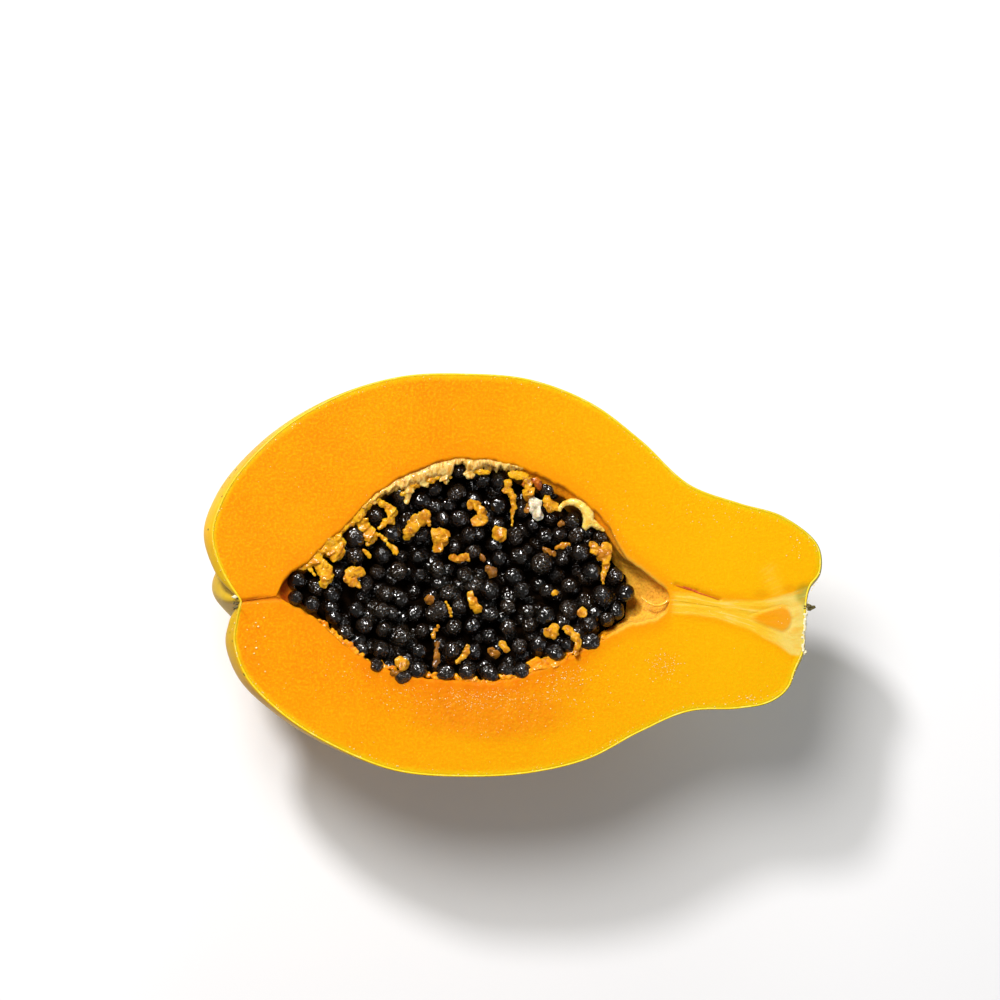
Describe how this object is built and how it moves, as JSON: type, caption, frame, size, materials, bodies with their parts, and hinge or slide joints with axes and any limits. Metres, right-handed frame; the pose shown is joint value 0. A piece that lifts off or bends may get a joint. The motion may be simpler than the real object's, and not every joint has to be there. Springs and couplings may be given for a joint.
{
  "type": "papaya half",
  "caption": "Half of a ripe papaya cut lengthwise, with orange flesh, a lobed blossom end, short stem neck and a hollow full of glossy black seeds.",
  "frame": {"origin": "under the middle of the half fruit's box, on the surface that its small flat spot rests on", "axes": "+X along the fruit from the blossom end to the stem end, +Y across the level cut face, +Z straight out of the cut face"},
  "size_m": [0.177, 0.114, 0.0575],
  "materials": {
    "flesh": "juicy orange papaya flesh, softly glossy where it is wet, under a thin yellow-green skin with dark specks",
    "seed_coat": "wet, wrinkled black seeds with scraps of orange placenta between them"
  },
  "bodies": {
    "root": {"papaya_half": "flesh", "seeds": "seed_coat"}
  },
  "joints": []
}
